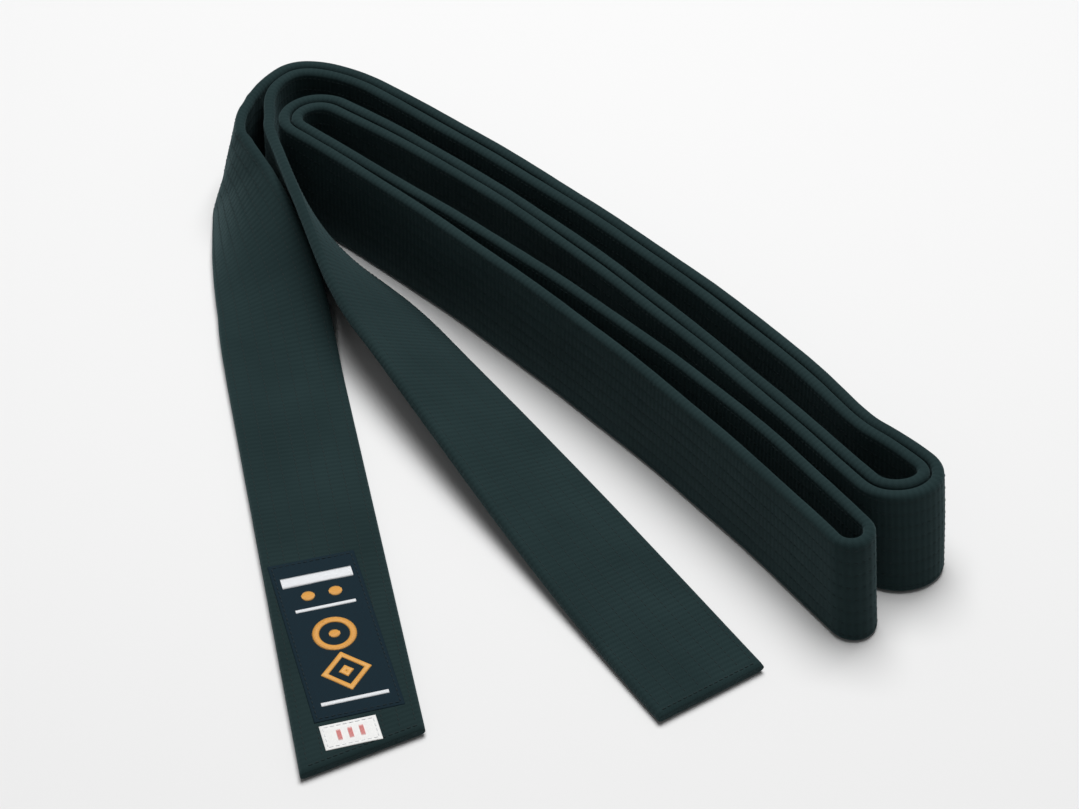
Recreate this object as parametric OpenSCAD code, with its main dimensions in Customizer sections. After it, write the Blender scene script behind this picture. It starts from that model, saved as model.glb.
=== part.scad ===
// Folded martial arts belt (obi): a stitched cotton strap doubled at its middle,
// folded into a standing bundle, with its two tails turned out flat on the floor.
// Millimetres, +Z up. The origin lies on the floor under the middle of the bounding box,
// and the bundle's strands run along X.

/* [Belt] */
// Length of the unfolded belt, end to end
belt_length = 2770; // [2750:5:2780]
// Width of the belt, edge to edge
belt_width = 45; // [40:0.5:46]
// Thickness of the finished belt, over its stitching
belt_thickness = 4.5; // [4:0.1:4.7]
// Thickness of the cotton cover cloth
cover_cloth = 0.7; // [0.5:0.05:0.9]
// Number of canvas plies in the core
core_plies = 4; // [3:1:4]

/* [Stitching] */
// Number of lengthwise rows of quilting stitches
stitch_rows = 8; // [6:1:10]
// Width of one line of stitches
thread_width = 0.6; // [0.4:0.05:0.8]
// How far the thread stands out of the cover
thread_proud = 0.15; // [0.1:0.01:0.2]
// Distance from a belt edge to its outermost stitch row
edge_margin = 3; // [2:0.5:5]
// Distance from a tail's end to its cross stitching
hem_margin = 2; // [1.5:0.1:2.5]

/* [Folds] */
// Distance between the middles of two layers that lie together
layer_pitch = 5.2; // [5.1:0.05:5.5]
// How far each side of the front loop opens beyond that
loop_opening = 4.3; // [2:0.1:5]

/* [Tails] */
// Length of tail A that lifts, from its end to its crease
lift_a = 180; // [150:5:180]
// Length of tail B that lifts, from its end to its crease
lift_b = 150; // [100:5:160]
// How much longer tail A's outer edge is than its inner edge
end_slant = 12; // [0:1:14]

/* [Label] */
// Width of the woven label, across the belt
label_width = 32; // [28:1:34]
// Length of the woven label, along the belt
label_length = 76; // [70:1:80]
// Distance from tail A's end to the label
label_from_end = 16; // [16:1:20]
// Thickness of the label and of the size tag
label_cloth = 0.4; // [0.3:0.05:0.6]
// Width of the size tag, across the belt
tag_width = 20; // [15:1:24]
// Length of the size tag, along the belt
tag_length = 11; // [8:1:12]

/* [Hidden] */

half_width = belt_width / 2;
half_thick = belt_thickness / 2;
cover_face = half_thick - thread_proud;
core_face = cover_face - cover_cloth;
ply_gap = 0.05;
ply_thick = (2 * core_face - (core_plies + 1) * ply_gap) / core_plies;
core_half_width = half_width - cover_cloth - 2 * ply_gap;
row_pitch = 2 * (half_width - edge_margin) / (stitch_rows - 1);
// Gap between the two sides of a crease, between stitches and the cloth under them, and
// between the label's layers
crease_gap = 0.3;
stitch_gap = 0.05;
lay_gap = 0.01;
// Where the fold plan's own zero lies in the part's frame
datum = [21.12, 51.80];
// Straight steps that each curved stretch of the bundle's route, and of a tail's, is made of
steps = 8;
tail_steps = 6;

// Fold plan. A knot is [x, y, heading, reach before, reach after]: the route passes through
// it at that heading, and the reaches say how far the heading holds on each side.
// The doubled belt's middle line, from the front loop to the bend where the tails leave.
doubled_knots = [
    [148, 12, 171, 1, 122],
    [-162, 16, 185, 94, 14.5],
    [-162, 38, 10.5, 14.5, 100],
    [135, 34.5, -6.5, 102, 15],
    [142, 57, 178, 15, 28],
    [98, 58.5, 170, 25, 60],
    [-162, 57.5, 187.5, 102, 14],
    [-194.5, 36, 270, 12, 1]];
bend_start = doubled_knots[len(doubled_knots) - 1];
tail_a_knots = [
    [bend_start[0] - layer_pitch / 2, bend_start[1], 270, 1, 5.5],
    [-176.5, -9, -22, 16.5, 5],
    [-119.5, -36, -31.5, 7, 1]];
tail_b_knots = [
    [bend_start[0] + layer_pitch / 2, bend_start[1], 270, 1, 15],
    [-175, 11, -47.5, 7, 10],
    [-116, -5, -10, 25, 1]];
// Length of tail A's last, straight stretch. Tail B's is what is left of the belt's length.
straight_a = 230;

// Geometry helpers
function ahead(heading) = [cos(heading), sin(heading)];
function right_of(heading) = [sin(heading), -cos(heading)];
function ease(from, to, x) =
    let (t = min(max((x - from) / (to - from), 0), 1)) t * t * (3 - 2 * t);
function bezier(a, b, c, d, t) =
    pow(1 - t, 3) * a + 3 * pow(1 - t, 2) * t * b + 3 * (1 - t) * t * t * c + pow(t, 3) * d;
function bezier_way(a, b, c, d, t) =
    pow(1 - t, 2) * (b - a) + 2 * (1 - t) * t * (c - b) + t * t * (d - c);
// A station is [x, y, heading]: a place on a route and the way the belt runs there.
function station(from, to, t) =
    let (a = [from[0], from[1]],
         d = [to[0], to[1]],
         b = a + from[4] * ahead(from[2]),
         c = d - to[3] * ahead(to[2]),
         p = bezier(a, b, c, d, t),
         w = bezier_way(a, b, c, d, t))
    [p[0], p[1], atan2(w[1], w[0])];
function route(knots, n) = concat(
    [station(knots[0], knots[1], 0)],
    [for (k = [1:len(knots) - 1]) for (i = [1:n]) station(knots[k - 1], knots[k], i / n)]);
function place(s) = [s[0], s[1]];
function travelled(stations, i) =
    i == 0 ? 0 : travelled(stations, i - 1) + norm(place(stations[i]) - place(stations[i - 1]));

// The standing bundle: both halves of the belt follow the doubled route, one on each side
doubled = route(doubled_knots, steps);
function spread(i) = layer_pitch / 2 + loop_opening * ease(0.05, 0.85, 1 - i / steps);
function shifted(s, off) =
    let (p = place(s) + off * right_of(s[2])) [p[0], p[1], s[2]];
half_a = [for (i = [0:len(doubled) - 1]) shifted(doubled[i], spread(i))];
half_b = [for (i = [len(doubled) - 1:-1:0])
    let (s = shifted(doubled[i], -spread(i))) [s[0], s[1], s[2] + 180]];
front_heading = doubled_knots[0][2] - 180;
front_bend = [for (i = [1:steps - 1])
    let (h = front_heading + 180 * i / steps,
         p = place(doubled_knots[0]) + spread(0) * right_of(h))
    [p[0], p[1], h]];
bundle = concat(half_b, front_bend, half_a);

// A tail: its curved route, then straight on. Each station gains a tilt: 90 stands, 0 lies flat.
function tilt_a(gone) = 90 * (1 - ease(0, 165, gone));
function tilt_b(gone) = 53 * (1 - ease(28, 141, gone)) + 37 * (1 - ease(75, 340, gone));
function tilt(side, gone) = side > 0 ? tilt_a(gone) : tilt_b(gone);
curve_a = route(tail_a_knots, tail_steps);
curve_b = route(tail_b_knots, tail_steps);
function curve(side) = side > 0 ? curve_a : curve_b;
function route_length(stations) = travelled(stations, len(stations) - 1);
straight_b = belt_length - straight_a - route_length(bundle)
    - route_length(curve_a) - route_length(curve_b);
function straight(side) = side > 0 ? straight_a : straight_b;
function lift(side) = side > 0 ? lift_a : lift_b;
function curve_length(side) = route_length(curve(side));
// Station on the straight stretch, a distance past its start
function straight_station(side, past) =
    let (last = curve(side)[len(curve(side)) - 1],
         p = place(last) + past * ahead(last[2]))
    [p[0], p[1], last[2], tilt(side, curve_length(side) + past)];
function straight_run(side, from, to, count) =
    [for (i = [0:count]) straight_station(side, from + (to - from) * i / count)];
function first_step(side) = (straight(side) - lift(side)) / 5;
function turnout(side) = concat(
    [for (i = [0:len(curve(side)) - 1])
        let (s = curve(side)[i]) [s[0], s[1], s[2], tilt(side, travelled(curve(side), i))]],
    straight_run(side, first_step(side), straight(side) - lift(side), 4));

// Point of the belt's cross-section at a station: across runs from its lower to its upper edge,
// out runs towards its outer face, which faces up where the tail lies flat.
function section_point(s, side, across, out) =
    let (r = side * right_of(s[2]),
         c = cos(s[3]),
         n = sin(s[3]),
         middle = half_width * n + half_thick * c)
    [s[0] + r[0] * (out * n - across * c),
     s[1] + r[1] * (out * n - across * c),
     middle + across * n + out * c];

// Distances across the belt where a long face is divided, so that all layers twist alike
function row_middle(i) = -half_width + edge_margin + i * row_pitch;
function columns(edge) = concat([-edge], [for (i = [0:stitch_rows - 1]) row_middle(i)], [edge]);
function reversed(list) = [for (i = [len(list) - 1:-1:0]) list[i]];
// Corners of a cross-section: along its lower face at b0 out, then back along its upper at b1
function ring(across, b0, b1) =
    concat([for (a = across) [a, b0]], [for (a = reversed(across)) [a, b1]]);
// Triangles between neighbouring rings of m points, whose first points are stride apart.
// Both long faces are cut along the same diagonals.
function side_triangles(m, rings, stride, start) =
    [for (i = [0:rings - 2]) for (j = [0:m - 1])
        let (p = i * stride + start + j,
             q = i * stride + start + (j + 1) % m)
        each j < m / 2 ? [[p, p + stride, q + stride], [p, q + stride, q]]
                       : [[p, p + stride, q], [q, p + stride, q + stride]]];
function turned(faces) = [for (f = faces) reversed(f)];

// A bar that follows the stations, divided across at the given places, from b0 to b1 out
module swept(stations, side, across, b0, b1) {
    corners = ring(across, b0, b1);
    m = len(corners);
    n = len(stations);
    points = [for (s = stations) for (c = corners) section_point(s, side, c[0], c[1])];
    e = m * (n - 1);
    ends = [for (j = [0:m / 2 - 2])
        let (k = m - 1 - j)
        each [[j, j + 1, k - 1, k], [e + k, e + k - 1, e + j + 1, e + j]]];
    faces = concat(ends, side_triangles(m, n, m, 0));
    polyhedron(points, side > 0 ? faces : turned(faces));
}

// A hollow bar along the stations, open at both ends: the cover cloth around the core
module swept_cover(stations, side) {
    corners = concat(
        ring(columns(half_width), -cover_face, cover_face),
        ring(columns(half_width - cover_cloth), -core_face, core_face));
    m = len(corners) / 2;
    n = len(stations);
    points = [for (s = stations) for (c = corners) section_point(s, side, c[0], c[1])];
    e = 2 * m * (n - 1);
    rims = [for (j = [0:m - 1])
        let (k = (j + 1) % m)
        each [[j, k, k + m, j + m], [e + j, e + j + m, e + k + m, e + k]]];
    faces = concat(rims, side_triangles(m, n, 2 * m, 0), turned(side_triangles(m, n, 2 * m, m)));
    polyhedron(points, side > 0 ? faces : turned(faces));
}

// The same cover closed at its far end, where its cloth is folded in: inside, it stops short
// of its last station, at the station floor_at
module swept_cup(stations, floor_at, side) {
    outer = ring(columns(half_width), -cover_face, cover_face);
    inner = ring(columns(half_width - cover_cloth), -core_face, core_face);
    m = len(outer);
    n = len(stations);
    points = [for (i = [0:n - 1])
        each concat(
            [for (c = outer) section_point(stations[i], side, c[0], c[1])],
            [for (c = inner) section_point(i < n - 1 ? stations[i] : floor_at, side, c[0], c[1])])];
    rim = [for (j = [0:m - 1])
        let (k = (j + 1) % m)
        [j, k, k + m, j + m]];
    e = 2 * m * (n - 1);
    ends = [for (j = [0:m / 2 - 2])
        let (k = m - 1 - j)
        each [[e + k, e + k - 1, e + j + 1, e + j],
              [e + m + j, e + m + j + 1, e + m + k - 1, e + m + k]]];
    faces = concat(rim, ends, side_triangles(m, n, 2 * m, 0),
        turned(side_triangles(m, n, 2 * m, m)));
    polyhedron(points, side > 0 ? faces : turned(faces));
}

// A standing bar that follows the bundle's stations
module standing(stations, a0, a1, b0, b1) {
    outer = [for (s = stations) place(s) + b1 * right_of(s[2])];
    inner = [for (i = [len(stations) - 1:-1:0]) place(stations[i]) + b0 * right_of(stations[i][2])];
    translate([0, 0, half_width + a0])
        linear_extrude(a1 - a0)
            polygon(concat(outer, inner));
}

module in_frame() {
    translate([datum[0], datum[1], 0])
        children();
}

// Cloth pieces of the standing bundle and of the stretches that turn out from it
module bundle_bar(across, b0, b1) {
    in_frame() {
        standing(bundle, across[0], across[len(across) - 1], b0, b1);
        swept(turnout(1), 1, across, b0, b1);
        swept(turnout(-1), -1, across, b0, b1);
    }
}

module cover_bundle() {
    overrun = 1;
    first = bundle[0];
    last = bundle[len(bundle) - 1];
    before = place(first) - overrun * ahead(first[2]);
    after = place(last) + overrun * ahead(last[2]);
    through = concat([[before[0], before[1], first[2]]], bundle, [[after[0], after[1], last[2]]]);
    color([0.07, 0.10, 0.11])
        in_frame() {
            difference() {
                standing(bundle, -half_width, half_width, -cover_face, cover_face);
                standing(through, -half_width + cover_cloth, half_width - cover_cloth,
                    -core_face, core_face);
            }
            swept_cover(turnout(1), 1);
            swept_cover(turnout(-1), -1);
        }
}

function ply_base(i) = -core_face + ply_gap + (i - 1) * (ply_thick + ply_gap);

module core_ply_bundle(i) {
    color([0.80, 0.77, 0.68])
        bundle_bar(columns(core_half_width), ply_base(i), ply_base(i) + ply_thick);
}

function thread_edges(i) = [row_middle(i) - thread_width / 2, row_middle(i) + thread_width / 2];

module quilting_bundle() {
    color([0.10, 0.14, 0.15])
        for (i = [0:stitch_rows - 1]) {
            bundle_bar(thread_edges(i), cover_face + stitch_gap, half_thick);
            bundle_bar(thread_edges(i), -half_thick, -cover_face - stitch_gap);
        }
}

// Tail A's own frame: the origin is on the floor at the middle of its end, +X points out of
// the end along the belt and +Y points at its inner edge
tail_a_end = straight_station(1, straight_a);
module on_tail_a() {
    in_frame()
        translate([tail_a_end[0], tail_a_end[1], 0])
            rotate([0, 0, tail_a_end[2]])
                children();
}
function slant(y) = -end_slant * y / belt_width;

// A flat bar on tail A, from x0 to a distance short of its slanted end
module tail_a_bar(y0, y1, z0, z1, short) {
    x0 = -lift_a + crease_gap;
    translate([0, 0, z0])
        linear_extrude(z1 - z0)
            polygon([[x0, y0], [slant(y0) - short, y0], [slant(y1) - short, y1], [x0, y1]]);
}

module cover_tail_a() {
    color([0.07, 0.10, 0.11])
        on_tail_a()
            difference() {
                tail_a_bar(-half_width, half_width, thread_proud, belt_thickness - thread_proud, 0);
                translate([-crease_gap, 0, 0])
                    tail_a_bar(-half_width + cover_cloth, half_width - cover_cloth,
                        thread_proud + cover_cloth, belt_thickness - thread_proud - cover_cloth,
                        2 * cover_cloth);
            }
}

module core_ply_tail_a(i) {
    color([0.80, 0.77, 0.68])
        on_tail_a()
            tail_a_bar(-core_half_width, core_half_width,
                half_thick + ply_base(i), half_thick + ply_base(i) + ply_thick, 3 * cover_cloth);
}

module quilting_tail_a() {
    short = hem_margin + 2 * thread_width;
    color([0.10, 0.14, 0.15])
        on_tail_a()
            for (i = [0:stitch_rows - 1]) {
                y = thread_edges(i);
                tail_a_bar(y[0], y[1], belt_thickness - thread_proud + stitch_gap, belt_thickness,
                    short);
                tail_a_bar(y[0], y[1], 0, thread_proud - stitch_gap, short);
            }
}

// A line of stitches across tail A, beside its slanted end
module end_stitching_tail_a() {
    y = half_width - edge_margin;
    x0 = -hem_margin - thread_width / 2;
    x1 = -hem_margin + thread_width / 2;
    color([0.10, 0.14, 0.15])
        on_tail_a()
            for (z = [0, belt_thickness - thread_proud + stitch_gap])
                translate([0, 0, z])
                    linear_extrude(thread_proud - stitch_gap)
                        polygon([[slant(-y) + x0, -y], [slant(-y) + x1, -y],
                                 [slant(y) + x1, y], [slant(y) + x0, y]]);
}

// Tail B turns slowly from leaning to flat, and its last stretch is quite flat
flat_end = 12;
function free_run_to(short) = concat(
    straight_run(-1, straight_b - lift_b + crease_gap, straight_b - flat_end, 7),
    [straight_station(-1, straight_b - short)]);

module cover_tail_b() {
    color([0.07, 0.10, 0.11])
        in_frame()
            swept_cup(free_run_to(0), straight_station(-1, straight_b - 2 * cover_cloth), -1);
}

module core_ply_tail_b(i) {
    color([0.80, 0.77, 0.68])
        in_frame()
            swept(free_run_to(3 * cover_cloth), -1, columns(core_half_width),
                ply_base(i), ply_base(i) + ply_thick);
}

module quilting_tail_b() {
    run = free_run_to(hem_margin + 2 * thread_width);
    color([0.10, 0.14, 0.15])
        in_frame()
            for (i = [0:stitch_rows - 1]) {
                swept(run, -1, thread_edges(i), cover_face + stitch_gap, half_thick);
                swept(run, -1, thread_edges(i), -half_thick, -cover_face - stitch_gap);
            }
}

// A line of stitches across tail B, beside its square end
module end_stitching_tail_b() {
    a = half_width - edge_margin;
    middle = straight_b - hem_margin;
    run = straight_run(-1, middle - thread_width / 2, middle + thread_width / 2, 1);
    color([0.10, 0.14, 0.15])
        in_frame() {
            swept(run, -1, [-a, a], cover_face + stitch_gap, half_thick);
            swept(run, -1, [-a, a], -half_thick, -cover_face - stitch_gap);
        }
}

// The label and the size tag lie on tail A's stitching. Their shapes stack in thin layers.
label_base = belt_thickness + 2 * lay_gap;
label_top = label_base + label_cloth;
mark_base = label_top + lay_gap;
mark_height = 0.15;
label_far = -label_from_end - label_length;
label_middle = -label_from_end - label_length / 2;
tag_middle = -3 - tag_length / 2;
tag_shift = 1;

module cloth_rectangle(x, y, length, width) {
    translate([x - length / 2, y - width / 2, label_base])
        cube([length, width, label_cloth]);
}

// A rectangular line of stitches just inside the edge of a sewn-on cloth
module border(x, y, length, width, inset) {
    outer = [length - 2 * inset, width - 2 * inset];
    inner = [outer[0] - thread_width, outer[1] - thread_width];
    translate([x, y, mark_base])
        linear_extrude(mark_height)
            difference() {
                square(outer, center = true);
                square(inner, center = true);
            }
}

module label_patch() {
    color([0.04, 0.07, 0.11])
        on_tail_a()
            cloth_rectangle(label_middle, 0, label_length, label_width);
}

module label_stitching() {
    color([0.10, 0.13, 0.16])
        on_tail_a()
            border(label_middle, 0, label_length, label_width, 1);
}

module mark(x, y) {
    translate([x, y, mark_base])
        linear_extrude(mark_height)
            children();
}

// Woven marks, from the label's far end: a bar, two dots, a thin bar, a ring, a diamond, a thin bar
module label_ring() {
    color([0.86, 0.60, 0.22])
        on_tail_a() {
            mark(label_far + 35, 0)
                difference() {
                    circle(r = 8, $fn = 64);
                    circle(r = 5.4, $fn = 64);
                }
            mark(label_far + 35, 0)
                circle(r = 2, $fn = 32);
            for (side = [-1, 1])
                mark(label_far + 15, side * 5)
                    circle(r = 2.4, $fn = 32);
        }
}

// A diamond outline around a smaller solid diamond
module label_diamond() {
    color([0.86, 0.60, 0.22])
        on_tail_a()
            mark(label_far + 56, 0)
                rotate(45) {
                    difference() {
                        square(13, center = true);
                        square(9, center = true);
                    }
                    square(4, center = true);
                }
}

module label_bars() {
    color([0.88, 0.89, 0.90])
        on_tail_a() {
            mark(label_far + 7, 0) square([5, 26], center = true);
            mark(label_far + 21.5, 0) square([1.6, 22], center = true);
            mark(label_far + 71, 0) square([1.8, 24], center = true);
        }
}

module size_tag() {
    color([0.93, 0.93, 0.92])
        on_tail_a()
            cloth_rectangle(tag_middle, tag_shift, tag_length, tag_width);
}

module size_tag_stitching() {
    color([0.85, 0.85, 0.84])
        on_tail_a()
            border(tag_middle, tag_shift, tag_length, tag_width, 0.8);
}

module size_tag_bars() {
    color([0.78, 0.35, 0.36])
        on_tail_a()
            for (i = [-1:1])
                mark(tag_middle, tag_shift + i * 4)
                    square([5, 1.6], center = true);
}

cover_bundle();
cover_tail_a();
cover_tail_b();
quilting_bundle();
quilting_tail_a();
quilting_tail_b();
end_stitching_tail_a();
end_stitching_tail_b();
label_patch();
label_stitching();
label_ring();
label_diamond();
label_bars();
size_tag();
size_tag_stitching();
size_tag_bars();
for (i = [1:core_plies]) {
    core_ply_bundle(i);
    core_ply_tail_a(i);
    core_ply_tail_b(i);
}
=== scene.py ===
import math

import bpy
import numpy as np
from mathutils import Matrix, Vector


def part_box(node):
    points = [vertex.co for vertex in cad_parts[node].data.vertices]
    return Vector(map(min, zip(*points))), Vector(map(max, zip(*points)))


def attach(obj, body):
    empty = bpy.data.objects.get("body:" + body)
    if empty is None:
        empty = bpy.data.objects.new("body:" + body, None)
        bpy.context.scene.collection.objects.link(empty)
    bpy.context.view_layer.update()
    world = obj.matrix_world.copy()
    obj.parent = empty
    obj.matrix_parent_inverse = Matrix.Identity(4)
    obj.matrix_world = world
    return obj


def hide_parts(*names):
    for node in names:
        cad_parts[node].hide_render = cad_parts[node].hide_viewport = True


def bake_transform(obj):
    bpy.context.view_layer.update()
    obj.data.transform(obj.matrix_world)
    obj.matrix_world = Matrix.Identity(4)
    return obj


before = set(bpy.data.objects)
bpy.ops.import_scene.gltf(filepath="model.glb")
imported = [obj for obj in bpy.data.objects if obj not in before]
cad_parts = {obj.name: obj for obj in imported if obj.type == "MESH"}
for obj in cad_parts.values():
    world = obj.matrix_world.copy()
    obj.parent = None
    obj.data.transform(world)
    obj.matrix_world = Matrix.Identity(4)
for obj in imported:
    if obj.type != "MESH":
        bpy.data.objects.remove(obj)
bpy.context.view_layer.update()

# A martial arts belt: one long padded cotton strap, doubled, folded into a standing bundle,
# its two tails turned out flat. The strap is made along one route, from tail B's end through
# the bundle to tail A's end. Every place on it is (along, across, out): metres along the route,
# metres from its middle towards its upper edge, metres out of its middle layer. The outer face
# is the one that faces up where a tail lies flat.

MM = 0.001
BELT_WIDTH = 45 * MM

# ---- Sizes, from the frame

cover_low, cover_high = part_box("cover_bundle")
quilt_low, quilt_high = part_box("quilting_tail_a")
patch_low, patch_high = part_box("label_patch")
half_width = BELT_WIDTH / 2
half_thick = (quilt_high[2] - quilt_low[2]) / 2
label_base = patch_low[2]
label_top = patch_high[2]

# ---- The route, as the frame's fold plan has it, in millimetres

LAYER_PITCH = 5.2
LOOP_OPENING = 4.3
DATUM = (21.12, 51.80)
LIFT_A = 180
LIFT_B = 150
STRAIGHT_A = 230
STRAIGHT_B = 258.14
END_SLANT = 12
SMOOTHED_OVER = 5
POINTS_A_SPAN = 60
POINTS_A_STRAIGHT = 200
FRONT_BEND_STEPS = 24

# A knot is x, y, heading, reach before and reach after
DOUBLED_KNOTS = [
    (148, 12, 171, 1, 122),
    (-162, 16, 185, 94, 14.5),
    (-162, 38, 10.5, 14.5, 100),
    (135, 34.5, -6.5, 102, 15),
    (142, 57, 178, 15, 28),
    (98, 58.5, 170, 25, 60),
    (-162, 57.5, 187.5, 102, 14),
    (-194.5, 36, 270, 12, 1),
]
bend_x, bend_y = DOUBLED_KNOTS[-1][:2]
TAIL_A_KNOTS = [
    (bend_x - LAYER_PITCH / 2, bend_y, 270, 1, 5.5),
    (-176.5, -9, -22, 16.5, 5),
    (-119.5, -36, -31.5, 7, 1),
]
TAIL_B_KNOTS = [
    (bend_x + LAYER_PITCH / 2, bend_y, 270, 1, 15),
    (-175, 11, -47.5, 7, 10),
    (-116, -5, -10, 25, 1),
]


def ease(start, stop, x):
    """A smooth step: 0 before start, 1 after stop."""
    t = np.clip((x - start) / (stop - start), 0, 1)
    return t * t * (3 - 2 * t)


def ahead(heading):
    """The unit vector at a heading in degrees."""
    return np.array([math.cos(math.radians(heading)), math.sin(math.radians(heading))])


def curve(knots):
    """Points of the smooth route through the knots, and how many knots each is past."""
    t = np.linspace(0, 1, POINTS_A_SPAN, endpoint=False)[:, None]
    points = []
    passed = []
    for i, (a, d) in enumerate(zip(knots, knots[1:])):
        p0 = np.array(a[:2])
        p3 = np.array(d[:2])
        p1 = p0 + a[4] * ahead(a[2])
        p2 = p3 - d[3] * ahead(d[2])
        near_start = (1 - t) ** 3 * p0 + 3 * (1 - t) ** 2 * t * p1
        points.append(near_start + 3 * (1 - t) * t**2 * p2 + t**3 * p3)
        passed.append(i + t[:, 0])
    points.append([knots[-1][:2]])
    passed.append([len(knots) - 1])
    return np.concatenate(points), np.concatenate(passed)


def directions(points):
    """Unit vectors along a row of points."""
    d = np.gradient(points, axis=0)
    return d / np.linalg.norm(d, axis=1)[:, None]


def rights(points):
    """Unit vectors to the right of a row of points."""
    d = directions(points)
    return np.stack([d[:, 1], -d[:, 0]], axis=1)


def lengths(points):
    """Distance travelled at each point."""
    steps = np.linalg.norm(np.diff(points, axis=0), axis=1)
    return np.concatenate([[0], np.cumsum(steps)])


def tail_route(knots, straight):
    """A tail's route outwards from the bundle, and the distance gone at each point."""
    bent, _ = curve(knots)
    run = np.linspace(0, straight, POINTS_A_STRAIGHT)[1:, None] * ahead(knots[-1][2])
    points = np.concatenate([bent, bent[-1] + run])
    return points, lengths(points)


def tilt_a(gone):
    """Tail A's tilt in degrees, from standing to flat, at a distance past the bundle."""
    return 90 * (1 - ease(0, 165, gone))


def tilt_b(gone):
    """Tail B's tilt. It turns down in two stages that overlap, the second one slower."""
    return 53 * (1 - ease(28, 141, gone)) + 37 * (1 - ease(75, 340, gone))


doubled, passed = curve(DOUBLED_KNOTS)
spread = LAYER_PITCH / 2 + LOOP_OPENING * ease(0.05, 0.85, 1 - passed)
half_a = doubled + rights(doubled) * spread[:, None]
half_b = (doubled - rights(doubled) * spread[:, None])[::-1]
bend_angles = [
    DOUBLED_KNOTS[0][2] - 180 + 180 * i / FRONT_BEND_STEPS
    for i in range(1, FRONT_BEND_STEPS)
]
front_bend = [
    doubled[0] + spread[0] * np.array([ahead(h)[1], -ahead(h)[0]])
    for h in bend_angles
]
out_a, gone_a = tail_route(TAIL_A_KNOTS, STRAIGHT_A)
out_b, gone_b = tail_route(TAIL_B_KNOTS, STRAIGHT_B)
route = np.concatenate([out_b[:0:-1], half_b, front_bend, half_a, out_a[1:]]) + np.array(DATUM)
tilts = np.concatenate([
    tilt_b(gone_b)[:0:-1],
    np.full(len(half_b) + len(front_bend) + len(half_a), 90.0),
    tilt_a(gone_a)[1:],
])
stands = np.concatenate([
    np.zeros(len(out_b) - 1),
    np.ones(len(half_b) + len(front_bend) + len(half_a)),
    np.zeros(len(out_a) - 1),
])
run_length = lengths(route)
total = run_length[-1]

# The same route at one point a millimetre, with its headings smoothed over a few of them
even = np.arange(0, total, 1.0)
even_x = np.interp(even, run_length, route[:, 0])
even_y = np.interp(even, run_length, route[:, 1])
way = directions(np.stack([even_x, even_y], axis=1))
even_heading = np.unwrap(np.arctan2(way[:, 1], way[:, 0]))
window = np.ones(SMOOTHED_OVER) / SMOOTHED_OVER
padded_heading = np.pad(even_heading, SMOOTHED_OVER // 2, mode="edge")
even_heading = np.convolve(padded_heading, window, mode="valid")

CREASE_A = (total - LIFT_A) * MM
CREASE_B = LIFT_B * MM
END_A = total * MM


# ---- Shape of the strap

LEAN_ALONG = 6.3 * MM
LEAN_FROM_SHARE = 0.70
bends_from = cover_low[0] + LEAN_FROM_SHARE * (cover_high[0] - cover_low[0])


def place(along, across, out):
    """Points in the frame, in metres, for arrays of places on the strap."""
    along, across, out = np.broadcast_arrays(along, across, out)
    s = along / MM
    beyond = np.clip(s - even[-1], 0, None) * MM
    x = np.interp(s, even, even_x) * MM
    y = np.interp(s, even, even_y) * MM
    heading = np.interp(s, even, even_heading)
    tilt = np.radians(np.interp(s, run_length, tilts))
    upright = np.interp(s, run_length, stands)
    x = x + beyond * np.cos(heading)
    y = y + beyond * np.sin(heading)
    c, n = np.cos(tilt), np.sin(tilt)
    sideways = out * n - across * c
    x = x + sideways * np.sin(heading)
    y = y - sideways * np.cos(heading)
    z = half_width * n + half_thick * c + across * n + out * c
    # The bundle's bends at its right lean in over themselves
    height = z / (2 * half_width)
    x = x - upright * height * LEAN_ALONG * ease(bends_from, cover_high[0], x)
    return np.stack([x, y, z], axis=-1)


ROWS = 8
EDGE_MARGIN = 3 * MM
ROW_PITCH = 2 * (half_width - EDGE_MARGIN) / (ROWS - 1)
STITCH = 2.2 * MM
GROOVE = 0.06 * MM
GROOVE_WIDTH = 0.75 * MM
EDGE_ROUND = 2.0 * MM
EDGE_ANGLES = (75, 55, 35, 16)
BESIDE = 0.02 * MM
SLANT_OVER = 70 * MM
TUCK_OVER = 2 * MM
TUCK_SHARE = 0.55
row_middles = [-half_width + EDGE_MARGIN + i * ROW_PITCH for i in range(ROWS)]


def relief(across):
    """How far the quilting pulls a face in, at a distance across the strap."""
    nearest = np.min([np.abs(across - row) for row in row_middles], axis=0)
    return GROOVE * np.exp(-((nearest / GROOVE_WIDTH) ** 2))


def columns():
    """Distances across the strap that its section needs: closest together at rows and edges."""
    found = []
    for row in row_middles:
        found += [row, row + 0.55 * MM, row - 0.55 * MM, row + 1.5 * MM, row - 1.5 * MM]
    for row in row_middles[:-1]:
        found.append(row + ROW_PITCH / 2)
    for angle in EDGE_ANGLES:
        edge = half_width - EDGE_ROUND + EDGE_ROUND * math.cos(math.radians(angle))
        found += [edge, -edge]
    return np.array(sorted(found))


def half_section(across):
    """Half the strap's thickness at a distance across it, with its edges rounded."""
    past = np.clip((np.abs(across) - (half_width - EDGE_ROUND)) / EDGE_ROUND, 0, 1)
    return (half_thick - EDGE_ROUND) + EDGE_ROUND * np.sqrt(1 - past**2) - relief(across)


def slanted(along, across):
    """Moves places near tail A's end along the strap, so that the end is cut at a slant."""
    share = ease(END_A - SLANT_OVER, END_A, along)
    return along - share * END_SLANT * MM * across / (2 * half_width)


def wave(along, across, face):
    """Small unevenness of padded cotton: slow waves, the same on both faces, and dimples."""
    s = along / MM
    a = across / MM
    slow = 0.16 * np.sin(s / 23.0 + 0.05 * a) + 0.12 * np.sin(s / 9.1 - 0.11 * a + 1.3)
    dimples = 0.05 * np.sin(s / 2.9 + 1.7 * a + face) * np.sin(a / 1.9 + s / 7.3)
    return (slow + face * dimples) * MM


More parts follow.
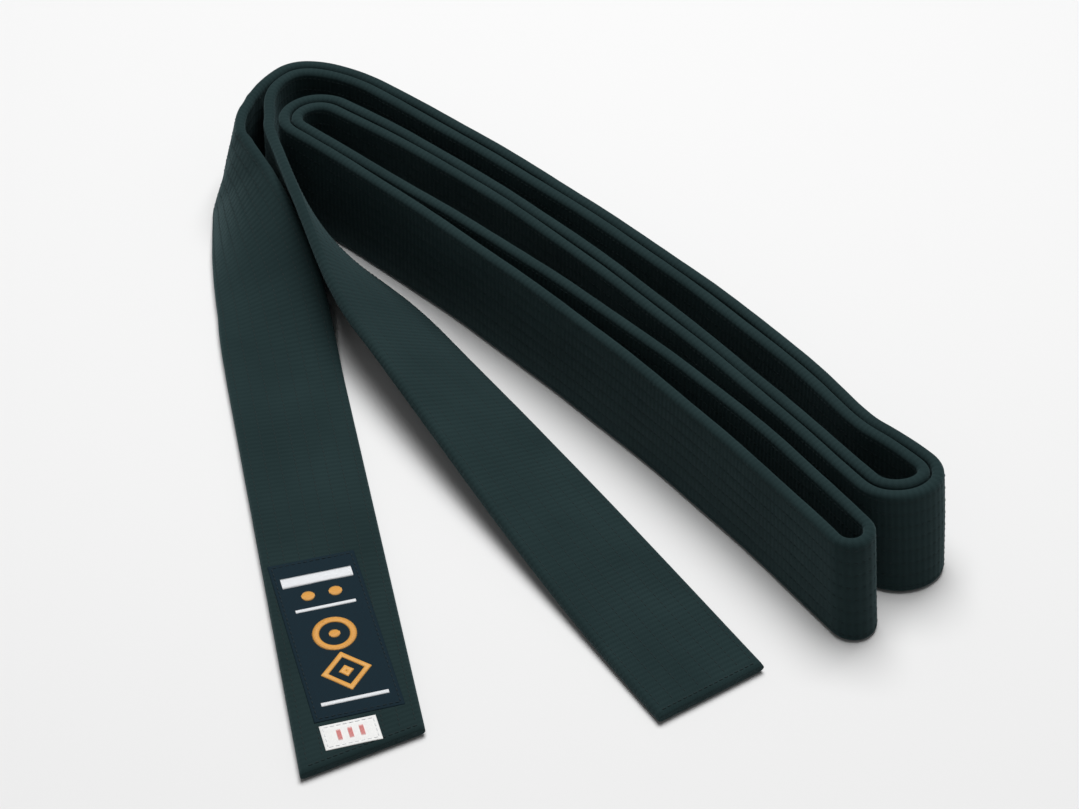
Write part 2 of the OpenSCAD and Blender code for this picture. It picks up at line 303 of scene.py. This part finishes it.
# Tail A's turn starts about this far before its crease, in mm
TURN_BEFORE_CREASE = 166
# Wrinkles along it: distance past the turn's start, slope across the strap, depth, width, in mm
TURN_WRINKLES = [
    (18, 0.10, 0.30, 2.2),
    (34, -0.30, 0.45, 2.6),
    (47, 0.25, 0.40, 2.4),
    (60, 0.45, 0.35, 3.0),
]


def wrinkles(along, across):
    """How far the cloth is creased in where it turns from standing to lying down."""
    s = along / MM
    found = np.zeros(np.broadcast(along, across).shape)
    start = CREASE_A / MM - TURN_BEFORE_CREASE
    for at, slope, depth, wide in TURN_WRINKLES:
        distance = s - start - at - slope * across / MM
        found = found - depth * np.exp(-((distance / wide) ** 2))
    return found * MM


def unevenness(along):
    """The share of the waves that is left. They mostly die away where the strap lies flat."""
    tilt = np.interp(along / MM, run_length, tilts)
    return 0.15 + 0.85 * ease(5, 60, tilt)


def tuck(along):
    """The share of the thickness that is left: the strap thins in a round at its two ends."""
    from_end = np.clip(np.minimum(along, END_A - along) / TUCK_OVER, 0, 1)
    round_off = 1 - np.sqrt(np.clip(1 - (1 - from_end) ** 2, 0, 1))
    return 1 - TUCK_SHARE * round_off


def surface(along, across, face):
    """Points of the strap's outer (face 1) or inner (face -1) cloth surface."""
    out = face * half_section(across) * tuck(along)
    out = out + wave(along, across, face) * unevenness(along)
    out = out + wrinkles(along, across)
    return place(slanted(along, across), across, out)


# ---- Meshes

def new_mesh(name, points, faces, uv):
    """A smooth-shaded object in the scene, with one texture coordinate for each point."""
    mesh = bpy.data.meshes.new(name)
    mesh.from_pydata(np.asarray(points).reshape(-1, 3).tolist(), [], faces)
    mesh.polygons.foreach_set("use_smooth", [True] * len(mesh.polygons))
    layer = mesh.uv_layers.new(name="UVMap")
    corners = np.empty(len(mesh.loops), dtype=np.int32)
    mesh.loops.foreach_get("vertex_index", corners)
    uv = np.asarray(uv, dtype=np.float32).reshape(-1, 2)
    layer.data.foreach_set("uv", uv[corners].ravel())
    mesh.validate()
    obj = bpy.data.objects.new(name, mesh)
    bpy.context.scene.collection.objects.link(obj)
    return obj


# How many rings the strap's mesh has before each point of the even route: more where it bends.
# A ring comes every few millimetres, and again for every few degrees of turning.
RING_STEP = 3.4
TURN_PER_RING = math.radians(9)
TIP_RINGS = np.array([0.0, 0.12, 0.4, 0.9, 1.5]) * MM
turning = np.abs(np.gradient(even_heading))
rings_before = np.cumsum(1 / RING_STEP + turning / TURN_PER_RING)


def strap(name, start, stop):
    """A closed length of strap between two distances along the route."""
    low, high = np.interp([start / MM, stop / MM], even, rings_before)
    wanted = np.linspace(low, high, math.ceil(high - low) + 1)
    along = np.interp(wanted, rings_before, even) * MM
    along[0] = start
    along[-1] = stop
    if start == 0:
        along = np.concatenate([TIP_RINGS, along[along > TUCK_OVER]])
    if stop == END_A:
        along = np.concatenate([along[along < END_A - TUCK_OVER], (END_A - TIP_RINGS)[::-1]])
    # A ring right beside a crease keeps the shading there flat, so that no seam shows
    if start > 0:
        along = np.insert(along, 1, start + BESIDE)
    if stop < END_A:
        along = np.insert(along, -1, stop - BESIDE)
    across = columns()
    n = len(along)
    m = len(across)
    grid, reach = np.meshgrid(along, across, indexing="ij")
    outer = surface(grid, reach, 1)
    inner = surface(grid, reach, -1)[:, ::-1]
    points = np.concatenate([outer, inner], axis=1)
    in_ring = 2 * m
    round_it = np.concatenate([across, 2 * half_width + half_thick - across[::-1]])
    uv_along = np.repeat(along[:, None], in_ring, axis=1)
    uv_round = np.repeat(round_it[None], n, axis=0)
    uv = np.stack([uv_along, uv_round], axis=-1)
    faces = []
    for i in range(n - 1):
        this = i * in_ring
        following = this + in_ring
        for j in range(in_ring):
            k = (j + 1) % in_ring
            faces.append((this + j, following + j, following + k, this + k))
    last = (n - 1) * in_ring
    for j in range(m - 1):
        faces.append((j, j + 1, in_ring - 2 - j, in_ring - 1 - j))
        faces.append((last + in_ring - 1 - j, last + in_ring - 2 - j, last + j + 1, last + j))
    return new_mesh(name, points, faces, uv)


STITCH_HALF = 0.46 * STITCH
QUILT_THREAD = 0.18 * MM
QUILT_SINK = 0.25 * MM
QUILT_PROUD = 0.02 * MM
END_THREAD = 0.24 * MM
END_SINK = 0.3 * MM
END_PROUD = 0.1 * MM


def threads(name, centres, ways, normals, radius, sink):
    """A stitch at each centre: a short thread that dives into the cloth at both ends."""
    centres = np.asarray(centres, dtype=float).reshape(-1, 3)
    ways = np.asarray(ways, dtype=float).reshape(-1, 3)
    normals = np.asarray(normals, dtype=float).reshape(-1, 3)
    sides = np.cross(ways, normals)
    stations = [(-1.0, 0.0), (-0.5, 1.0), (0.5, 1.0), (1.0, 0.0)]
    points = []
    for at, thick in stations:
        middle = centres + ways * at * STITCH_HALF - normals * sink * (1 - thick)
        if thick == 0:
            points.append(middle)
            continue
        for side, up in ((1, 0), (0, 1), (-1, 0), (0, -1)):
            points.append(middle + radius * (side * sides + up * normals))
    points = np.stack(points, axis=1)
    one = []
    for k in range(4):
        one.append((0, 1 + (k + 1) % 4, 1 + k))
        one.append((1 + k, 1 + (k + 1) % 4, 5 + (k + 1) % 4, 5 + k))
        one.append((9, 5 + k, 5 + (k + 1) % 4))
    faces = [tuple(10 * i + v for v in face) for i in range(len(centres)) for face in one]
    uv = np.stack([points[:, :, 0], points[:, :, 1]], axis=-1)
    return new_mesh(name, points, faces, uv)


def frames_at(along, across, face):
    """Points on a cloth surface, with the ways along it and out of it there."""
    step = 0.4 * MM
    here = surface(along, across, face)
    forward = surface(along + step, across, face) - surface(along - step, across, face)
    sideways = surface(along, across + step / 4, face) - surface(along, across - step / 4, face)
    forward = forward / np.linalg.norm(forward, axis=-1)[..., None]
    normal = face * np.cross(forward, sideways)
    normal = normal / np.linalg.norm(normal, axis=-1)[..., None]
    return here, forward, normal


def quilting(name, start, stop, face):
    """Rows of lock stitches along one face of the strap."""
    along = np.arange(start + STITCH / 2, stop, STITCH)
    grid, rows = np.meshgrid(along, np.array(row_middles), indexing="ij")
    here, forward, normal = frames_at(grid, rows, face)
    return threads(name, here + QUILT_PROUD * normal, forward, normal, QUILT_THREAD, QUILT_SINK)


def end_row(name, at):
    """A row of stitches across the strap on both faces, beside an end."""
    reach = half_width - EDGE_MARGIN
    across = np.arange(-reach, reach, STITCH) + STITCH / 2
    found = []
    for face in (1, -1):
        along = np.full(len(across), at)
        here, forward, normal = frames_at(along, across, face)
        over, _, _ = frames_at(along, across + 0.5 * MM, face)
        way = over - here
        way = way / np.linalg.norm(way, axis=-1)[..., None]
        found.append((here + END_PROUD * normal, way, normal))
    both = [np.concatenate(parts) for parts in zip(*found)]
    return threads(name, *both, END_THREAD, END_SINK)


belt_bundle = strap("belt_bundle", CREASE_B, CREASE_A)
belt_tail_a = strap("belt_tail_a", CREASE_A, END_A)
belt_tail_b = strap("belt_tail_b", 0, CREASE_B)
HEM = 2 * MM
ROWS_STOP = 4 * MM
quilting_pieces = {
    "bundle": [quilting("thread_bundle_outer", CREASE_B, CREASE_A, 1),
               quilting("thread_bundle_inner", CREASE_B, CREASE_A, -1)],
    "tail_a": [quilting("thread_tail_a_outer", CREASE_A, END_A - ROWS_STOP, 1),
               quilting("thread_tail_a_inner", CREASE_A, END_A - ROWS_STOP, -1)],
    "tail_b": [quilting("thread_tail_b_outer", ROWS_STOP, CREASE_B, 1),
               quilting("thread_tail_b_inner", ROWS_STOP, CREASE_B, -1)],
}
end_stitching_a = end_row("end_stitches_a", END_A - HEM)
end_stitching_b = end_row("end_stitches_b", HEM)


# ---- The label and the size tag, in tail A's own directions

THREAD_PITCH = 0.40 * MM
SATIN_RADIUS = 0.24 * MM
TAG_SATIN_RADIUS = 0.2 * MM
LABEL_WIDTH = 32 * MM
LABEL_LENGTH = 76 * MM
LABEL_GAP = 16 * MM
TAG_WIDTH = 20 * MM
TAG_LENGTH = 11 * MM
TAG_GAP = 3 * MM
TAG_SIDE = -6.5 * MM
TAG_BAR_PITCH = 4 * MM
LABEL_SIDE = -1.5 * MM
MARK_PROUD = 0.02 * MM
label_x = -LABEL_GAP - LABEL_LENGTH / 2
label_far = -LABEL_GAP - LABEL_LENGTH
tag_x = -TAG_GAP - TAG_LENGTH / 2
mark_z = label_top + MARK_PROUD

# The label's marks, measured from its far edge towards tail A's end
wide_bar_x = label_far + 10 * MM
dots_x = label_far + 18 * MM
thin_bar_x = label_far + 24.5 * MM
ring_x = label_far + 38 * MM
diamond_x = label_far + 56 * MM
near_bar_x = label_far + 69 * MM
DOT_SIDE = 5 * MM
DOT_RADIUS = 2.4 * MM

LABEL_TURN = math.radians(4.5)
TURN_MIDDLE = -54 * MM
PATCH_STEPS_LONG = 60
PATCH_STEPS_WIDE = 28
RIM_SHARE = 0.45


def on_tail(x, y, z):
    """A point near tail A's end: x out of the end, y towards its inner edge, z up, in metres.

    The label and the tag are sewn on a little askew, turned about a point on the label.
    """
    x = np.asarray(x, dtype=float) - TURN_MIDDLE
    y = np.asarray(y, dtype=float)
    c, s = math.cos(LABEL_TURN), math.sin(LABEL_TURN)
    return place(END_A + TURN_MIDDLE + c * x - s * y, s * x + c * y, np.asarray(z) - half_thick)


def patch_steps(size, round_edge, count):
    """Places from -1 to 1 across a patch, with one step for each rounded edge."""
    inside = 1 - round_edge / size
    return np.concatenate([[-1], np.linspace(-inside, inside, count), [1]])


def patch(name, x, y, length, width, round_edge):
    """A sewn-on piece of cloth with soft edges and a slightly uneven top."""
    columns_x = patch_steps(length, round_edge, PATCH_STEPS_LONG)
    columns_y = patch_steps(width, round_edge, PATCH_STEPS_WIDE)
    gx, gy = np.meshgrid(columns_x * length / 2, columns_y * width / 2, indexing="ij")
    edge = np.minimum(length / 2 - np.abs(gx), width / 2 - np.abs(gy))
    rise = np.sqrt(np.clip(edge / round_edge, 0, 1))
    uneven = 0.05 * MM * np.sin(gx / (5.1 * MM)) * np.sin(gy / (3.7 * MM) + 1)
    uneven = uneven - 0.10 * MM * np.exp(-(((edge - 1.3 * MM) / (0.6 * MM)) ** 2))
    height = (label_top - label_base) * (RIM_SHARE + (1 - RIM_SHARE) * rise)
    upper = on_tail(x + gx, y + gy, label_base + height + uneven * rise)
    lower = on_tail(x + gx, y + gy, np.full(gx.shape, label_base))
    n, m = gx.shape
    points = np.concatenate([upper.reshape(-1, 3), lower.reshape(-1, 3)])
    count = n * m
    faces = []
    for i in range(n - 1):
        for j in range(m - 1):
            a = i * m + j
            b = a + m
            c = b + 1
            d = a + 1
            faces.append((a, b, c, d))
            faces.append((count + a, count + d, count + c, count + b))
    rim = [i * m for i in range(n)]
    rim += [(n - 1) * m + j for j in range(1, m)]
    rim += [i * m + m - 1 for i in range(n - 2, -1, -1)]
    rim += [j for j in range(m - 2, 0, -1)]
    for a, b in zip(rim, rim[1:] + rim[:1]):
        faces.append((b, a, count + a, count + b))
    uv = np.stack([gx + x, gy + y], axis=-1).reshape(-1, 2)
    return new_mesh(name, points, faces, np.concatenate([uv, uv]))


def label_frames(x, y, z, way_x, way_y):
    """Centres, ways and normals of stitches that lie on the label or the tag."""
    centres = on_tail(x, y, z)
    ways = on_tail(x + way_x * MM, y + way_y * MM, z) - centres
    ways = ways / np.linalg.norm(ways, axis=-1)[:, None]
    return centres, ways, np.tile([0.0, 0.0, 1.0], (len(x), 1))


def border(name, x, y, length, width, inset, radius):
    """A rectangular line of stitches, just inside the edge of a sewn-on cloth."""
    a = length / 2 - inset
    b = width / 2 - inset
    xs = []
    ys = []
    wx = []
    wy = []
    for half, fixed, swap in ((a, b, False), (a, -b, False), (b, a, True), (b, -a, True)):
        count = round(2 * half / STITCH)
        at = (np.arange(count) + 0.5) / count * 2 * half - half
        still = np.full(count, fixed)
        xs.append(still if swap else at)
        ys.append(at if swap else still)
        wx.append(np.full(count, 0.0 if swap else 1.0))
        wy.append(np.full(count, 1.0 if swap else 0.0))
    stitch_frames = label_frames(x + np.concatenate(xs), y + np.concatenate(ys), label_top,
                                 np.concatenate(wx), np.concatenate(wy))
    return threads(name, *stitch_frames, radius, QUILT_SINK)


# Sections of one satin thread: how far along it, share of its thickness, rise in radii
SATIN_SECTIONS = [(0, 0.5, -0.5), (0.15, 0.95, 0.1), (0.5, 1, 0.35), (0.85, 0.95, 0.1), (1, 0.5, -0.5)]
SATIN_SIDES = 6


def satin(name, pairs, radius):
    """Close-laid threads, one between each pair of points in tail A's directions."""
    pairs = np.asarray(pairs, dtype=float)
    start = on_tail(pairs[:, 0, 0], pairs[:, 0, 1], mark_z)
    stop = on_tail(pairs[:, 1, 0], pairs[:, 1, 1], mark_z)
    up = np.array([0.0, 0.0, 1.0])
    way = stop - start
    side = np.cross(way, up)
    side = side / np.linalg.norm(side, axis=1)[:, None]
    points = []
    for t, thick, rise in SATIN_SECTIONS:
        middle = start + way * t + up * radius * rise
        for k in range(SATIN_SIDES):
            angle = math.radians(360 / SATIN_SIDES * k)
            points.append(middle + radius * thick * (math.cos(angle) * side + math.sin(angle) * up))
    points = np.stack(points, axis=1)
    in_thread = len(SATIN_SECTIONS) * SATIN_SIDES
    one = [tuple(range(SATIN_SIDES - 1, -1, -1)), tuple(range(in_thread - SATIN_SIDES, in_thread))]
    for this in range(0, in_thread - SATIN_SIDES, SATIN_SIDES):
        following = this + SATIN_SIDES
        for k in range(SATIN_SIDES):
            beside = (k + 1) % SATIN_SIDES
            one.append((this + k, this + beside, following + beside, following + k))
    faces = [tuple(in_thread * i + v for v in face) for i in range(len(points)) for face in one]
    u = np.repeat(np.linspace(0, 1, len(SATIN_SECTIONS)), SATIN_SIDES)
    uv = np.tile(u[:, None] * [1, 0], (len(points), 1))
    return new_mesh(name, points, faces, uv)


def bar(x, y, length, width):
    """Threads that fill a bar, running along the belt; the bar's width is across it."""
    count = round(width / THREAD_PITCH)
    at = (np.arange(count) + 0.5) / count * width - width / 2
    return [((x - length / 2, y + a), (x + length / 2, y + a)) for a in at]


def ring(x, y, inner, outer):
    """Threads that fill a ring, each running outwards."""
    count = round(math.pi * (inner + outer) / THREAD_PITCH)
    found = []
    for i in range(count):
        c = math.cos(2 * math.pi * i / count)
        s = math.sin(2 * math.pi * i / count)
        found.append(((x + inner * c, y + inner * s), (x + outer * c, y + outer * s)))
    return found


def disc(x, y, radius):
    """Threads that fill a disc, running along the belt."""
    count = round(2 * radius / THREAD_PITCH)
    found = []
    for i in range(count):
        a = (i + 0.5) / count * 2 * radius - radius
        half = math.sqrt(radius**2 - a**2)
        found.append(((x - half, y + a), (x + half, y + a)))
    return found


def diamond(x, y, inner, outer):
    """Threads across the four sides of a diamond outline. Sizes are from its middle to its sides."""
    found = []
    for quarter in range(4):
        turn = math.radians(45 + 90 * quarter)
        c, s = math.cos(turn), math.sin(turn)
        count = round(2 * outer / THREAD_PITCH)
        for i in range(count):
            a = (i + 0.5) / count * 2 - 1
            ends = ((inner, a * inner), (outer, a * outer))
            found.append(tuple((x + c * p - s * q, y + s * p + c * q) for p, q in ends))
    return found


label = patch("label", label_x, LABEL_SIDE, LABEL_LENGTH, LABEL_WIDTH, 0.5 * MM)
label_stitches = border("label_stitches", label_x, LABEL_SIDE, LABEL_LENGTH, LABEL_WIDTH,
                        1.3 * MM, 0.2 * MM)
gold_pairs = ring(ring_x, LABEL_SIDE, 5.4 * MM, 8 * MM)
gold_pairs += disc(ring_x, LABEL_SIDE, 2 * MM)
gold_pairs += disc(dots_x, LABEL_SIDE + DOT_SIDE, DOT_RADIUS)
gold_pairs += disc(dots_x, LABEL_SIDE - DOT_SIDE, DOT_RADIUS)
label_ring = satin("label_ring_threads", gold_pairs, SATIN_RADIUS)
diamond_pairs = diamond(diamond_x, LABEL_SIDE, 4.5 * MM, 6.5 * MM)
diamond_pairs += diamond(diamond_x, LABEL_SIDE, 0.1 * MM, 2 * MM)
label_diamond = satin("label_diamond_threads", diamond_pairs, SATIN_RADIUS)
bar_pairs = bar(wide_bar_x, LABEL_SIDE, 5 * MM, 26 * MM)
bar_pairs += bar(thin_bar_x, LABEL_SIDE, 1.6 * MM, 22 * MM)
bar_pairs += bar(near_bar_x, LABEL_SIDE, 1.8 * MM, 24 * MM)
label_bars = satin("label_bar_threads", bar_pairs, SATIN_RADIUS)
tag = patch("size_tag_tape", tag_x, TAG_SIDE, TAG_LENGTH, TAG_WIDTH, 0.3 * MM)
tag_stitches = border("size_tag_stitches", tag_x, TAG_SIDE, TAG_LENGTH, TAG_WIDTH,
                      1.1 * MM, 0.16 * MM)
tag_pairs = []
for i in (-1, 0, 1):
    tag_pairs += bar(tag_x, TAG_SIDE + i * TAG_BAR_PITCH, 5 * MM, 1.6 * MM)
tag_bars = satin("size_tag_bar_threads", tag_pairs, TAG_SATIN_RADIUS)


# ---- Materials

class Nodes:
    """Short ways to add nodes to one material."""

    def __init__(self, name, color, roughness, **sockets):
        self.material = bpy.data.materials.new(name)
        self.material.use_nodes = True
        self.tree = self.material.node_tree
        self.shader = self.tree.nodes["Principled BSDF"]
        self.shader.inputs["Base Color"].default_value = (*color, 1)
        self.shader.inputs["Roughness"].default_value = roughness
        for key, value in sockets.items():
            self.shader.inputs[key.replace("_", " ")].default_value = value
        self.height = None
        uv = self.add("ShaderNodeUVMap")
        uv.uv_map = "UVMap"
        self.uv = uv.outputs[0]
        split = self.add("ShaderNodeSeparateXYZ")
        self.link(self.uv, split.inputs[0])
        self.u = split.outputs[0]
        self.v = split.outputs[1]

    def add(self, kind):
        return self.tree.nodes.new(kind)

    def link(self, a, b):
        self.tree.links.new(a, b)

    def math(self, operation, a, b=0.0):
        node = self.add("ShaderNodeMath")
        node.operation = operation
        for socket, value in zip(node.inputs, (a, b)):
            if isinstance(value, (int, float)):
                socket.default_value = value
            else:
                self.link(value, socket)
        return node.outputs[0]

    def lines(self, u_share, v_share, pitch, bend=None):
        """A sine from 0 to 1 over straight lines, one every pitch metres."""
        along_u = self.math("MULTIPLY", self.u, u_share)
        along_v = self.math("MULTIPLY", self.v, v_share)
        along = self.math("ADD", along_u, along_v)
        phase = self.math("MULTIPLY", along, 2 * math.pi / pitch)
        if bend is not None:
            phase = self.math("ADD", phase, bend)
        return self.math("ADD", self.math("MULTIPLY", self.math("SINE", phase), 0.5), 0.5)

    def noise(self, scale, detail, stretch=(1, 1, 1)):
        mapping = self.add("ShaderNodeMapping")
        mapping.inputs["Scale"].default_value = stretch
        self.link(self.uv, mapping.inputs["Vector"])
        node = self.add("ShaderNodeTexNoise")
        node.inputs["Scale"].default_value = scale
        node.inputs["Detail"].default_value = detail
        self.link(mapping.outputs[0], node.inputs["Vector"])
        return node.outputs[0]

    def colour(self, factor, dark, light):
        ramp = self.add("ShaderNodeMix")
        ramp.data_type = "RGBA"
        ramp.inputs[6].default_value = (*dark, 1)
        ramp.inputs[7].default_value = (*light, 1)
        self.link(factor, ramp.inputs[0])
        self.link(ramp.outputs[2], self.shader.inputs["Base Color"])

    def rough(self, factor, low, high):
        span = self.add("ShaderNodeMapRange")
        span.inputs["To Min"].default_value = low
        span.inputs["To Max"].default_value = high
        self.link(factor, span.inputs["Value"])
        self.link(span.outputs[0], self.shader.inputs["Roughness"])

    def bump(self, height, distance, strength):
        node = self.add("ShaderNodeBump")
        node.inputs["Distance"].default_value = distance
        node.inputs["Strength"].default_value = strength
        self.link(height, node.inputs["Height"])
        if self.height is not None:
            self.link(self.height, node.inputs["Normal"])
        self.height = node.outputs["Normal"]
        self.link(self.height, self.shader.inputs["Normal"])


def cover_material():
    m = Nodes("cover_cloth", (0.010, 0.018, 0.020), 0.85, Sheen_Weight=0.10, Sheen_Roughness=0.5,
              Sheen_Tint=(0.55, 0.90, 0.95, 1), Specular_IOR_Level=0.1)
    wobble = m.math("MULTIPLY", m.noise(900, 2), 3.0)
    twill = m.lines(1, 1, 0.75 * MM, wobble)
    rib = m.lines(1, 0, STITCH, m.math("MULTIPLY", m.noise(45, 2, (1, 0.3, 1)), 4.0))
    patchy = m.noise(28, 3, (1, 1.4, 1))
    blotches = m.noise(35, 4)
    fuzz = m.noise(2600, 2)
    tone = m.math("ADD", m.math("MULTIPLY", blotches, 0.50),
                  m.math("ADD", m.math("MULTIPLY", twill, 0.20), m.math("MULTIPLY", fuzz, 0.30)))
    tone = m.math("ADD", tone, m.math("MULTIPLY", m.math("MULTIPLY", rib, patchy), 0.25))
    m.colour(tone, (0.0020, 0.0082, 0.0089), (0.0180, 0.0360, 0.0375))
    m.rough(fuzz, 0.80, 0.97)
    m.bump(m.math("MULTIPLY", rib, patchy), 0.16 * MM, 0.8)
    m.bump(twill, 0.08 * MM, 0.6)
    m.bump(fuzz, 0.10 * MM, 0.4)
    return m.material


def thread_material(name, dark, light, roughness, sheen):
    m = Nodes(name, light, roughness, Sheen_Weight=sheen, Sheen_Roughness=0.3, Specular_IOR_Level=0.4)
    twist = m.noise(4000, 2)
    m.colour(twist, dark, light)
    m.bump(twist, 0.05 * MM, 0.5)
    return m.material


def woven_material(name, dark, light, roughness, sheen):
    m = Nodes(name, light, roughness, Sheen_Weight=sheen, Sheen_Roughness=0.3, Specular_IOR_Level=0.15)
    warp = m.lines(0, 1, 0.5 * MM)
    weft = m.lines(1, 0, 0.35 * MM)
    weave = m.math("MULTIPLY", warp, weft)
    speckle = m.noise(700, 3)
    m.colour(m.math("ADD", m.math("MULTIPLY", weave, 0.5), m.math("MULTIPLY", speckle, 0.5)), dark, light)
    m.rough(speckle, roughness - 0.1, roughness + 0.1)
    m.bump(weave, 0.08 * MM, 0.8)
    return m.material


def satin_material(name, dark, light):
    m = Nodes(name, light, 0.42, Sheen_Weight=0.2, Sheen_Roughness=0.3, Specular_IOR_Level=0.5)
    fibre = m.noise(30, 3, (4, 400, 1))
    m.colour(fibre, dark, light)
    m.bump(fibre, 0.04 * MM, 0.4)
    return m.material


cover = cover_material()
black_thread = thread_material("black_thread", (0.005, 0.014, 0.015), (0.012, 0.026, 0.028), 0.9, 0.02)
label_cloth = woven_material("label_cloth", (0.003, 0.011, 0.018), (0.010, 0.027, 0.038), 0.85, 0.0)
label_thread = thread_material("label_thread", (0.003, 0.010, 0.014), (0.011, 0.026, 0.034), 0.85, 0.0)
gold_thread = satin_material("gold_thread", (0.50, 0.22, 0.03), (0.85, 0.45, 0.10))
white_thread = satin_material("white_thread", (0.60, 0.62, 0.65), (0.88, 0.89, 0.90))
red_thread = satin_material("red_thread", (0.55, 0.16, 0.16), (0.80, 0.34, 0.32))
tag_cloth = woven_material("tag_cloth", (0.68, 0.68, 0.67), (0.92, 0.92, 0.91), 0.7, 0.2)


def finish_piece(obj, material):
    obj.data.materials.append(material)


# ---- Which body the bundle's pieces and the label's pieces ride on, and which nodes each piece stands for

BEND = 26 * MM


def bend_span(along, way):
    """Where a lifting tail starts and ends its bend, just past its crease."""
    start = place(along, 0, 0)
    stop = place(along + way * BEND, 0, 0)
    return tuple(start), tuple(stop)


plies = ["core_ply_%d_" % i for i in (1, 2, 3, 4)]
for body, strap_piece, way in (
    ("bundle", belt_bundle, 0),
    ("tail_a", belt_tail_a, 1),
    ("tail_b", belt_tail_b, -1),
):
    finish_piece(strap_piece, cover)
    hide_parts("cover_" + body, *(ply + body for ply in plies))
    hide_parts("quilting_" + body)
    group = [strap_piece] + quilting_pieces[body]
    for piece in quilting_pieces[body]:
        finish_piece(piece, black_thread)
    if body == "tail_a":
        group.append(end_stitching_a)
    if body == "tail_b":
        group.append(end_stitching_b)
    for piece in group:
        if way == 0:
            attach(piece, body)
        else:
            crease = CREASE_A if way > 0 else CREASE_B
            start, stop = bend_span(crease, way)
            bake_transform(piece)

for piece, node in (
    (end_stitching_a, "end_stitching_tail_a"),
    (end_stitching_b, "end_stitching_tail_b"),
):
    finish_piece(piece, black_thread)
    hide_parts(node)

for piece, material, slot, node in (
    (label, label_cloth, "label_cloth", "label_patch"),
    (label_stitches, label_thread, "label_thread", "label_stitching"),
    (label_ring, gold_thread, "gold_thread", "label_ring"),
    (label_diamond, gold_thread, "gold_thread", "label_diamond"),
    (label_bars, white_thread, "white_thread", "label_bars"),
    (tag, tag_cloth, "tag_cloth", "size_tag"),
    (tag_stitches, white_thread, "white_thread", "size_tag_stitching"),
    (tag_bars, red_thread, "red_thread", "size_tag_bars"),
):
    finish_piece(piece, material)
    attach(piece, "tail_a")
    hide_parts(node)


# ---- Floor, light and camera

FLOOR_HALF = 3.0
FLOOR_GREY = 0.74
FLOOR_BELOW = 0.2 * MM
WORLD_LIGHT = 0.15
# A lamp's name, place, size in metres and power in watts
LAMPS = [
    ("key", (-0.25, 0.35, 1.7), 1.1, 38),
    ("fill", (0.9, -0.9, 1.1), 1.4, 0.5),
]
CAMERA_LENS = 92.95
CAMERA_PLACE = (0.5751, -0.4827, 0.7376)
CAMERA_TURNS = (46.71, -0.62, 46.72)


def studio():
    """The floor, the soft surrounding light and the two lamps."""
    mesh = bpy.data.meshes.new("floor")
    half = FLOOR_HALF
    corners = [(-half, -half, 0), (half, -half, 0), (half, half, 0), (-half, half, 0)]
    mesh.from_pydata(corners, [], [(0, 1, 2, 3)])
    floor = bpy.data.objects.new("floor", mesh)
    bpy.context.scene.collection.objects.link(floor)
    floor.location.z = -FLOOR_BELOW
    paint = bpy.data.materials.new("floor_paint")
    paint.use_nodes = True
    shader = paint.node_tree.nodes["Principled BSDF"]
    shader.inputs["Base Color"].default_value = (FLOOR_GREY, FLOOR_GREY, FLOOR_GREY, 1)
    shader.inputs["Roughness"].default_value = 0.9
    shader.inputs["Specular IOR Level"].default_value = 0.1
    mesh.materials.append(paint)

    world = bpy.data.worlds.new("studio")
    world.use_nodes = True
    world.node_tree.nodes["Background"].inputs[0].default_value = (1, 1, 1, 1)
    world.node_tree.nodes["Background"].inputs[1].default_value = WORLD_LIGHT
    bpy.context.scene.world = world

    for name, spot, size, watts in LAMPS:
        light = bpy.data.lights.new(name, "AREA")
        light.shape = "SQUARE"
        light.size = size
        light.energy = watts
        lamp = bpy.data.objects.new(name, light)
        lamp.location = spot
        lamp.rotation_euler = (Vector((0, 0, 0)) - Vector(spot)).to_track_quat("-Z", "Y").to_euler()
        bpy.context.scene.collection.objects.link(lamp)


def photographer():
    """The camera, at the photograph's viewing angle."""
    camera = bpy.data.cameras.new("camera")
    camera.sensor_width = 36
    camera.lens = CAMERA_LENS
    eye = bpy.data.objects.new("camera", camera)
    eye.location = CAMERA_PLACE
    eye.rotation_euler = [math.radians(turn) for turn in CAMERA_TURNS]
    bpy.context.scene.collection.objects.link(eye)
    bpy.context.scene.camera = eye


studio()
photographer()
bpy.context.scene.view_settings.view_transform = "Standard"
